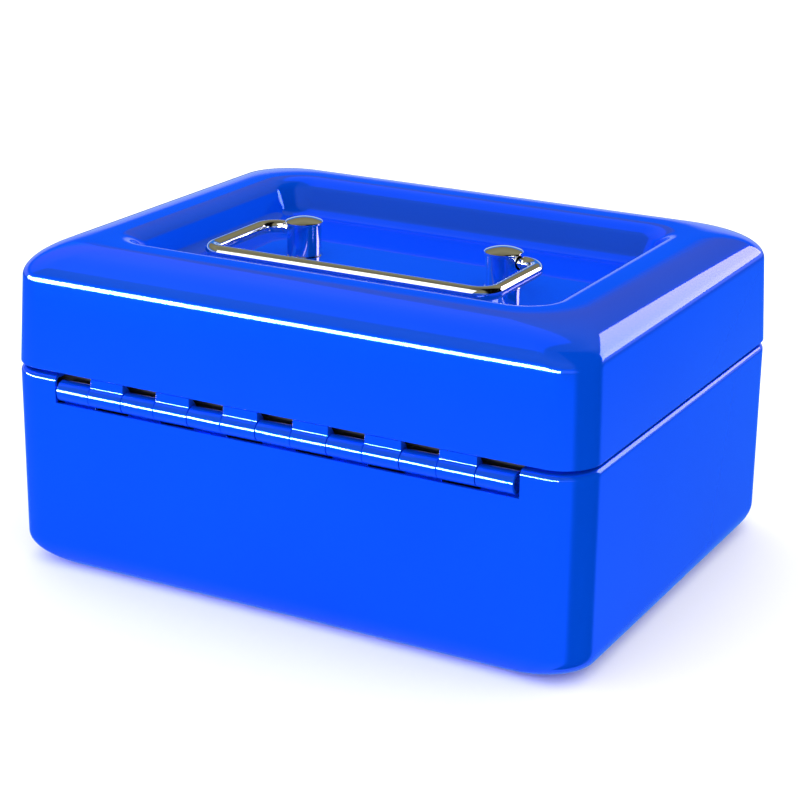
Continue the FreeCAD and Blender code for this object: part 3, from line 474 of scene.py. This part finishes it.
def base_leaf_mesh():
    """The rear plate, and the odd knuckles on tongues that step up to the inside of the pin."""
    outer_y = HALF_WIDTH - SHEET
    inner_y = outer_y - SHEET
    plate = [(outer_y, base_leaf_low.z), (outer_y, JOGGLE_Z), (inner_y, JOGGLE_Z), (inner_y, base_leaf_low.z)]
    tongue = [
        (outer_y - BASE_TONGUE_LAP, JOGGLE_Z - BASE_TONGUE_FOOT),
        (outer_y - BASE_TONGUE_LAP, JOGGLE_Z + BASE_TONGUE_BEND),
        (BARREL_INSIDE_Y + SHEET, BASE_TONGUE_Z),
        (BARREL_INSIDE_Y + SHEET, HINGE_Z),
        (BARREL_INSIDE_Y, HINGE_Z),
        (BARREL_INSIDE_Y, BASE_TONGUE_Z - BASE_TONGUE_BEND),
        (inner_y + BASE_TONGUE_LAP, JOGGLE_Z),
        (inner_y + BASE_TONGUE_LAP, JOGGLE_Z - BASE_TONGUE_FOOT),
    ]
    bm = bmesh.new()
    extrude_outline(bm, plate, -BARREL_HALF, BARREL_HALF, LEAF_BEVEL)
    for index in range(0, KNUCKLES, 2):
        x_low, x_high = knuckle_span(index)
        barrel_rings(bm, x_low, x_high)
        extrude_outline(bm, tongue, x_low + BASE_TONGUE_GAP, x_high - BASE_TONGUE_GAP, LEAF_BEVEL)
    return mesh_of(bm, "hinge_base_leaf_rolled")


def lid_knuckle_outline():
    """One outline round the barrel, up a tongue nearly flush with the lid's wall and onto the leaf inside."""
    outer_y = HALF_WIDTH - LID_TONGUE_INSET
    leaf_y = HALF_WIDTH - SHEET - LEAF_GAP
    tongue_top = SEAM_Z - LEAF_GAP
    reach = KNUCKLE_RADIUS + LID_TONGUE_FILLET
    fillet_y = outer_y + LID_TONGUE_FILLET
    meet = math.acos((fillet_y - HINGE_Y) / reach)
    fillet_z = HINGE_Z + reach * math.sin(meet)
    points = [(leaf_y, LID_LEAF_LOW + LEAF_GAP), (leaf_y, tongue_top), (outer_y, tongue_top)]
    for step in range(FILLET_STEPS + 1):
        angle = math.pi + meet * step / FILLET_STEPS
        y = fillet_y + LID_TONGUE_FILLET * math.cos(angle)
        points.append((y, fillet_z + LID_TONGUE_FILLET * math.sin(angle)))
    for step in range(1, BARREL_STEPS + 1):
        angle = meet - (meet + math.pi) * step / BARREL_STEPS
        y = HINGE_Y + KNUCKLE_RADIUS * math.cos(angle)
        points.append((y, HINGE_Z + KNUCKLE_RADIUS * math.sin(angle)))
    points.append((BARREL_INSIDE_Y, HINGE_Z + LID_TONGUE_RISE))
    points.append((leaf_y - SHEET, tongue_top - SHEET))
    points.append((leaf_y - SHEET, LID_LEAF_LOW + LEAF_GAP))
    return points


def lid_leaf_mesh():
    """The leaf inside the lid and its even knuckles. It leaves windows over the odd ones."""
    low_y = HALF_WIDTH - SHEET - LEAF_GAP
    top_y = HALF_WIDTH - SHEET - LID_DRAFT * (LID_LEAF_TOP - SEAM_Z) / (LID_WALL_TOP - SEAM_Z)
    leaf = [
        (low_y, LID_LEAF_LOW), (top_y, LID_LEAF_TOP),
        (top_y - SHEET, LID_LEAF_TOP), (low_y - SHEET, LID_LEAF_LOW),
    ]
    bm = bmesh.new()
    extrude_outline(bm, leaf, -BARREL_HALF, BARREL_HALF, LEAF_BEVEL)
    for index in range(1, KNUCKLES, 2):
        x_low, x_high = knuckle_span(index)
        extrude_outline(bm, lid_knuckle_outline(), x_low, x_high, EDGE_ROUND)
    mesh = mesh_of(bm, "hinge_lid_leaf_rolled")
    bore_start = (-BARREL_HALF - CUT_MARGIN, HINGE_Y, HINGE_Z)
    bore = rod_cutter(KNUCKLE_BORE, bore_start, (1, 0, 0), 2 * (BARREL_HALF + CUT_MARGIN))
    return cut(mesh, [bore])


# ---------------------------------------------------------------- handle

def post_mesh(side):
    """A turned post under a domed cap, with a small foot round and the cross bore for the handle."""
    cap_low = POST_RIM_Z - POST_CAP_SHEET
    dome_radius = (POST_CAP_RADIUS ** 2 + POST_DOME ** 2) / (2 * POST_DOME)
    rim_angle = math.asin(POST_CAP_RADIUS / dome_radius)
    profile = [(DISH_FLOOR_Z, POST_RADIUS + POST_FOOT)]
    for angle in quarter(POST_FOOT_STEPS):
        z = DISH_FLOOR_Z + POST_FOOT * math.sin(angle) + POST_FOOT_RISE
        profile.append((z, POST_RADIUS + POST_FOOT * (1 - math.sin(angle))))
    profile.append((cap_low, POST_RADIUS))
    for angle in quarter(POST_CAP_STEPS):
        radius = POST_CAP_RADIUS - POST_CAP_UNDER + POST_CAP_UNDER * math.sin(angle)
        profile.append((cap_low + POST_CAP_UNDER * (1 - math.cos(angle)), radius))
    profile.append((POST_RIM_Z - POST_RIM_DROP, POST_CAP_RADIUS))
    for step in range(1, DOME_STEPS):
        angle = rim_angle * (1 - step / DOME_STEPS)
        z = POST_RIM_Z + POST_DOME - dome_radius * (1 - math.cos(angle))
        profile.append((z, dome_radius * math.sin(angle)))
    bm = bmesh.new()
    x = side * POST_X
    lathe(bm, profile, Vector((x, 0, 0)), "Z", False)
    mesh = mesh_of(bm, "handle_post_turned")
    screw = rod_cutter(SCREW_HOLE, (x, 0, DISH_FLOOR_Z - CUT_MARGIN), (0, 0, 1), SCREW_HOLE_LENGTH)
    bore_start = (x + side * (POST_RADIUS + CUT_MARGIN), 0, PIVOT_Z)
    bore = rod_cutter(STUB + STUB_CLEARANCE, bore_start, (-side, 0, 0), POST_BORE_DEPTH + CUT_MARGIN)
    return cut(mesh, [screw, bore])


def bail_path():
    """Centre line of the wire from one stub's end to the other's: ((x, y), radius)."""
    half_length = bail_high.x - WIRE
    reach = bail_high.y - WIRE
    stub_in = POST_X + POST_RADIUS - STUB_DEPTH
    stub_out = POST_X + POST_RADIUS + STUB_BARE
    arm_x = half_length - ARM_BEND
    bar_x = half_length - BAR_BEND
    bar_y = reach - BAR_BEND
    side = [((stub_in, 0), STUB - STUB_CHAMFER), ((stub_in + STUB_CHAMFER, 0), STUB), ((stub_out, 0), STUB)]
    for step in range(1, COLLAR_STEPS + 1):
        share = step / COLLAR_STEPS
        blend = share * share * (3 - 2 * share)
        side.append(((stub_out + (arm_x - stub_out) * share, 0), STUB + (WIRE - STUB) * blend))
    for step in range(1, BEND_STEPS + 1):
        angle = -math.pi / 2 + math.pi / 2 * step / BEND_STEPS
        side.append(((arm_x + ARM_BEND * math.cos(angle), ARM_BEND + ARM_BEND * math.sin(angle)), WIRE))
    for angle in quarter(BEND_STEPS):
        side.append(((bar_x + BAR_BEND * math.cos(angle), bar_y + BAR_BEND * math.sin(angle)), WIRE))
    mirrored = [((-x, y), r) for (x, y), r in reversed(side)]
    return side + mirrored


def bail_mesh():
    """The handle's wire, swept round its path."""
    path = bail_path()
    bm = bmesh.new()
    rows = []
    for index, ((x, y), radius) in enumerate(path):
        before = path[max(index - 1, 0)][0]
        after = path[min(index + 1, len(path) - 1)][0]
        along = Vector((after[0] - before[0], after[1] - before[1], 0)).normalized()
        across = Vector((-along.y, along.x, 0))
        row = []
        for i in range(WIRE_SEGMENTS):
            angle = 2 * math.pi * i / WIRE_SEGMENTS
            offset = across * (radius * math.cos(angle)) + Vector((0, 0, radius * math.sin(angle)))
            row.append(bm.verts.new(Vector((x, y, PIVOT_Z)) + offset))
        rows.append(row)
    for low, high in zip(rows, rows[1:]):
        for i in range(WIRE_SEGMENTS):
            j = (i + 1) % WIRE_SEGMENTS
            bm.faces.new((low[i], low[j], high[j], high[i]))
    bm.faces.new(rows[0][::-1])
    bm.faces.new(rows[-1])
    return mesh_of(bm, "handle_bail_bent")


# ---------------------------------------------------------------- materials

# Where the colour ramps start and end on the noise
RAMP_START = 0.3
RAMP_END = 0.7


class Look:
    """A node material: a Principled shader fed by noise in object coordinates."""

    def __init__(self, name, **fixed):
        self.material = bpy.data.materials.new(name)
        self.material.use_nodes = True
        self.tree = self.material.node_tree
        self.shader = self.tree.nodes["Principled BSDF"]
        self.place = self.node("ShaderNodeTexCoord").outputs["Object"]
        for socket, value in fixed.items():
            self.shader.inputs[socket.replace("_", " ")].default_value = value

    def node(self, kind):
        return self.tree.nodes.new(kind)

    def join(self, source, target):
        self.tree.links.new(source, target)

    def noise(self, scale, detail=3.0, stretch=None):
        texture = self.node("ShaderNodeTexNoise")
        texture.inputs["Scale"].default_value = scale
        texture.inputs["Detail"].default_value = detail
        place = self.place
        if stretch:
            mapping = self.node("ShaderNodeMapping")
            mapping.inputs["Scale"].default_value = stretch
            self.join(place, mapping.inputs["Vector"])
            place = mapping.outputs["Vector"]
        self.join(place, texture.inputs["Vector"])
        return texture.outputs["Fac"]

    def colour(self, factor, low, high):
        ramp = self.node("ShaderNodeValToRGB")
        ramp.color_ramp.elements[0].position = RAMP_START
        ramp.color_ramp.elements[1].position = RAMP_END
        ramp.color_ramp.elements[0].color = (*low, 1)
        ramp.color_ramp.elements[1].color = (*high, 1)
        self.join(factor, ramp.inputs["Fac"])
        self.join(ramp.outputs["Color"], self.shader.inputs["Base Color"])

    def roughness(self, factor, low, high):
        spread = self.node("ShaderNodeMapRange")
        spread.inputs["To Min"].default_value = low
        spread.inputs["To Max"].default_value = high
        self.join(factor, spread.inputs["Value"])
        self.join(spread.outputs["Result"], self.shader.inputs["Roughness"])

    def bump(self, height, depth, sockets=("Normal",)):
        bump = self.node("ShaderNodeBump")
        bump.inputs["Distance"].default_value = depth
        self.join(height, bump.inputs["Height"])
        for socket in sockets:
            self.join(bump.outputs["Normal"], self.shader.inputs[socket])


def blue_paint():
    """Gloss enamel: saturated blue under a clear skin with a faint orange peel."""
    look = Look("blue_paint", Metallic=0.5, Specular_Tint=(0.02, 0.15, 1.0, 1.0), Specular_IOR_Level=0.0,
                Coat_Weight=1.0, Coat_Roughness=0.02, Coat_IOR=1.5)
    look.colour(look.noise(9.0), low=(0.0008, 0.086, 0.86), high=(0.0010, 0.103, 0.95))
    look.roughness(look.noise(60.0), low=0.09, high=0.11)
    look.bump(look.noise(420.0, detail=2.0), depth=0.004 * MM, sockets=("Normal", "Coat Normal"))
    return look.material


def chrome():
    """Bright plating with a faint cloud of polishing marks."""
    look = Look("chrome", Metallic=1.0)
    look.colour(look.noise(30.0), low=(0.80, 0.81, 0.82), high=(0.88, 0.88, 0.87))
    look.roughness(look.noise(220.0, detail=5.0), low=0.035, high=0.075)
    look.bump(look.noise(900.0, detail=2.0), depth=0.0015 * MM)
    return look.material


def zinc_steel():
    """Dull zinc plating on small steel parts."""
    look = Look("zinc_steel", Metallic=1.0)
    look.colour(look.noise(140.0, detail=6.0), low=(0.50, 0.51, 0.52), high=(0.66, 0.66, 0.64))
    look.roughness(look.noise(400.0, detail=4.0), low=0.25, high=0.42)
    look.bump(look.noise(1500.0, detail=2.0), depth=0.004 * MM)
    return look.material


def nickel():
    """Warm plating with fine turning lines."""
    look = Look("nickel", Metallic=1.0)
    look.colour(look.noise(90.0), low=(0.60, 0.57, 0.50), high=(0.70, 0.67, 0.60))
    look.roughness(look.noise(600.0, detail=4.0), low=0.14, high=0.24)
    look.bump(look.noise(2500.0, detail=2.0, stretch=(1, 0.05, 1)), depth=0.002 * MM)
    return look.material


def brass():
    """Stamped brass sheet."""
    look = Look("brass", Metallic=1.0)
    look.colour(look.noise(120.0), low=(0.72, 0.48, 0.16), high=(0.83, 0.60, 0.24))
    look.roughness(look.noise(500.0), low=0.18, high=0.32)
    return look.material


def black_plastic():
    """Moulded plastic with a fine spark grain."""
    look = Look("black_plastic", Specular_IOR_Level=0.45)
    look.colour(look.noise(40.0), low=(0.012, 0.012, 0.013), high=(0.022, 0.022, 0.024))
    look.roughness(look.noise(300.0), low=0.38, high=0.55)
    look.bump(look.noise(1400.0, detail=4.0), depth=0.02 * MM)
    return look.material


LOOKS = {make.__name__: make() for make in (blue_paint, chrome, zinc_steel, nickel, brass, black_plastic)}

NODE_LOOKS = {
    "base_shell": "blue_paint", "hinge_base_leaf": "blue_paint", "hinge_pin": "zinc_steel",
    "lock_housing": "chrome", "lock_nut": "zinc_steel", "lid_shell": "blue_paint",
    "hinge_lid_leaf": "blue_paint", "handle_post_left": "chrome", "handle_post_right": "chrome",
    "post_screws": "zinc_steel", "post_washers": "zinc_steel", "strike_plate": "zinc_steel",
    "handle_bail": "chrome", "lock_plug": "nickel", "lock_wafers": "brass",
    "wafer_springs": "zinc_steel", "lock_cam": "zinc_steel", "cam_washer": "zinc_steel",
    "cam_screw": "zinc_steel", "coin_tray": "black_plastic",
}
for node, look_name in NODE_LOOKS.items():
    shown = nodes[node]
    shown.data.materials.clear()
    shown.data.materials.append(LOOKS[look_name])
    smooth_by_angle(shown.data)

PAINTED_PIECES = (
    ("base_pressing", base_mesh(), "base", "base_shell"),
    ("lid_pressing", lid_mesh(), "lid", "lid_shell"),
    ("base_hinge_leaf", base_leaf_mesh(), "base", "hinge_base_leaf"),
    ("lid_hinge_leaf", lid_leaf_mesh(), "lid", "hinge_lid_leaf"),
)
PLATED_PIECES = (
    ("post_turned_left", post_mesh(-1), "lid", "handle_post_left"),
    ("post_turned_right", post_mesh(1), "lid", "handle_post_right"),
    ("handle_wire", bail_mesh(), "handle", "handle_bail"),
)
painted = [new_piece(name, mesh, body, "blue_paint", node) for name, mesh, body, node in PAINTED_PIECES]
plated = [new_piece(name, mesh, body, "chrome", node) for name, mesh, body, node in PLATED_PIECES]


# ---------------------------------------------------------------- room, light and camera

# The floor, and the room that lights the diffuse surfaces
FLOOR_CELLS = 8
FLOOR_HALF = 4.0
ROOM_LIGHT = 1.5
ROOM_COLOUR = (1.0, 1.0, 1.0, 1.0)

# What glossy surfaces see: elevation in degrees and colour, with a dark card round one heading
GLOSS_BANDS = (
    (-90, (0.20, 0.42, 0.90)),
    (-14, (0.05, 0.28, 0.88)),
    (-6, (0.05, 0.12, 0.32)),
    (-2, (0.50, 0.66, 0.92)),
    (9, (0.50, 0.66, 0.95)),
    (13, (0.03, 0.20, 0.80)),
    (16.5, (0.02, 0.18, 0.74)),
    (22, (0.20, 0.18, 0.10)),
    (45, (0.27, 0.25, 0.15)),
    (90, (0.12, 0.11, 0.07)),
)
DARK_HEADING = math.radians(100)
DARK_EDGE = 0.60
DARK_CORE = 0.85
DARK_LEVEL = 0.0

# The camera. LENS_RATIO is the focal length over the sensor's width.
CAMERA_AZIMUTH = 208.437
CAMERA_ELEVATION = 19.078
CAMERA_ROLL = 0.713
CAMERA_DISTANCE = 0.5109
CAMERA_TARGET = Vector((-10.63, 19.39, 44.88)) * MM
SENSOR = 36.0
LENS_RATIO = 2.678625
CLIP_START = 0.01
CLIP_END = 20


def floor():
    """A plain white floor. It is left out of reflections, so that the bands of the room show there."""
    look = Look("pale_floor", Roughness=0.8, Specular_IOR_Level=0.1)
    look.colour(look.noise(3.0), low=(0.93, 0.93, 0.93), high=(0.95, 0.95, 0.95))
    bm = bmesh.new()
    bmesh.ops.create_grid(bm, x_segments=FLOOR_CELLS, y_segments=FLOOR_CELLS, size=FLOOR_HALF)
    mesh = bpy.data.meshes.new("floor")
    bm.to_mesh(mesh)
    bm.free()
    mesh.materials.append(look.material)
    plane = bpy.data.objects.new("floor", mesh)
    bpy.context.scene.collection.objects.link(plane)
    plane.visible_glossy = False


def light_group(name, pieces):
    """A collection of the pieces that one light falls on."""
    group = bpy.data.collections.new(name)
    for piece in pieces:
        group.objects.link(piece)
    return group


def area_light(name, place, aim, size, radiance, colour=(1, 1, 1), receivers=None):
    """A rectangular light that shows in reflections only. Its radiance doesn't depend on its size."""
    lamp = bpy.data.lights.new(name, "AREA")
    lamp.shape = "RECTANGLE"
    lamp.size, lamp.size_y = size
    lamp.energy = radiance * math.pi * size[0] * size[1]
    lamp.color = colour
    light = bpy.data.objects.new(name, lamp)
    bpy.context.scene.collection.objects.link(light)
    light.location = place
    light.rotation_mode = "QUATERNION"
    light.rotation_quaternion = (Vector(aim) - Vector(place)).to_track_quat("-Z", "Y")
    light.visible_camera = False
    light.visible_diffuse = False
    if receivers is not None:
        light.light_linking.receiver_collection = receivers


def band(elevation_degrees):
    """The place of one elevation on the ramp, which runs from straight down to straight up."""
    return (math.sin(math.radians(elevation_degrees)) + 1) / 2


def world():
    """A soft white room for diffuse light; glossy surfaces see a darker one with its own bright bands."""
    room = bpy.data.worlds.new("studio")
    bpy.context.scene.world = room
    room.use_nodes = True
    tree = room.node_tree
    tree.nodes.clear()
    add = tree.nodes.new
    link = tree.links.new
    place = add("ShaderNodeTexCoord")
    split = add("ShaderNodeSeparateXYZ")
    link(place.outputs["Generated"], split.inputs["Vector"])
    height = add("ShaderNodeMapRange")
    height.inputs["From Min"].default_value = -1
    height.inputs["From Max"].default_value = 1
    link(split.outputs["Z"], height.inputs["Value"])
    bands = add("ShaderNodeValToRGB")
    ramp = bands.color_ramp
    for element, (elevation, colour) in zip(ramp.elements, (GLOSS_BANDS[0], GLOSS_BANDS[-1])):
        element.position = band(elevation)
        element.color = (*colour, 1)
    for elevation, colour in GLOSS_BANDS[1:-1]:
        ramp.elements.new(band(elevation)).color = (*colour, 1)
    link(height.outputs["Result"], bands.inputs["Fac"])
    flat = add("ShaderNodeCombineXYZ")
    link(split.outputs["X"], flat.inputs["X"])
    link(split.outputs["Y"], flat.inputs["Y"])
    heading = add("ShaderNodeVectorMath")
    heading.operation = "NORMALIZE"
    link(flat.outputs["Vector"], heading.inputs[0])
    facing = add("ShaderNodeVectorMath")
    facing.operation = "DOT_PRODUCT"
    link(heading.outputs["Vector"], facing.inputs[0])
    facing.inputs[1].default_value = (-math.sin(DARK_HEADING), math.cos(DARK_HEADING), 0)
    shade = add("ShaderNodeMapRange")
    shade.interpolation_type = "SMOOTHSTEP"
    shade.inputs["From Min"].default_value = DARK_EDGE
    shade.inputs["From Max"].default_value = DARK_CORE
    shade.inputs["To Min"].default_value = 1.0
    shade.inputs["To Max"].default_value = DARK_LEVEL
    link(facing.outputs["Value"], shade.inputs["Value"])
    gloss = add("ShaderNodeBackground")
    link(bands.outputs["Color"], gloss.inputs["Color"])
    link(shade.outputs["Result"], gloss.inputs["Strength"])
    soft = add("ShaderNodeBackground")
    soft.inputs["Color"].default_value = ROOM_COLOUR
    soft.inputs["Strength"].default_value = ROOM_LIGHT
    path = add("ShaderNodeLightPath")
    mix = add("ShaderNodeMixShader")
    link(path.outputs["Is Glossy Ray"], mix.inputs["Fac"])
    link(soft.outputs["Background"], mix.inputs[1])
    link(gloss.outputs["Background"], mix.inputs[2])
    out = add("ShaderNodeOutputWorld")
    link(mix.outputs["Shader"], out.inputs["Surface"])


def camera():
    """The camera, turned about its target and rolled a little."""
    azimuth = math.radians(CAMERA_AZIMUTH)
    elevation = math.radians(CAMERA_ELEVATION)
    roll = math.radians(CAMERA_ROLL)
    level = math.cos(elevation)
    back = Vector((math.sin(azimuth) * level, -math.cos(azimuth) * level, math.sin(elevation)))
    level_right = Vector((math.cos(azimuth), math.sin(azimuth), 0))
    level_up = back.cross(level_right)
    right = level_right * math.cos(roll) + level_up * math.sin(roll)
    up = level_up * math.cos(roll) - level_right * math.sin(roll)
    data = bpy.data.cameras.new("view")
    data.sensor_width = SENSOR
    data.lens = LENS_RATIO * SENSOR
    data.clip_start = CLIP_START
    data.clip_end = CLIP_END
    eye = bpy.data.objects.new("view", data)
    bpy.context.scene.collection.objects.link(eye)
    turn = Matrix((right, up, back)).transposed().to_4x4()
    eye.matrix_world = Matrix.Translation(CAMERA_TARGET + back * CAMERA_DISTANCE) @ turn
    bpy.context.scene.camera = eye


floor()
world()
area_light("key_softbox", place=(0.36, 0.95, 0.80), aim=(0, 0, 0.07), size=(0.9, 1.2), radiance=1.5,
           receivers=light_group("plated", plated))
area_light("blue_card", place=(0.81, -0.22, 1.07), aim=(0, 0, 0.07), size=(1.7, 1.7), radiance=0.75,
           colour=(0.01, 0.15, 1.0), receivers=light_group("painted", painted))
area_light("low_strip", place=(0.22, 0.45, 0.07), aim=(0, 0.06, 0.072), size=(1.2, 0.11), radiance=34)
area_light("side_softbox", place=(-0.19, -0.20, 0.152), aim=(-0.19, 0, 0.152), size=(0.17, 0.14),
           radiance=4.0, colour=(1.0, 0.84, 1.0))
camera()
bpy.context.scene.view_settings.view_transform = "Standard"
bpy.context.scene.view_settings.look = "None"
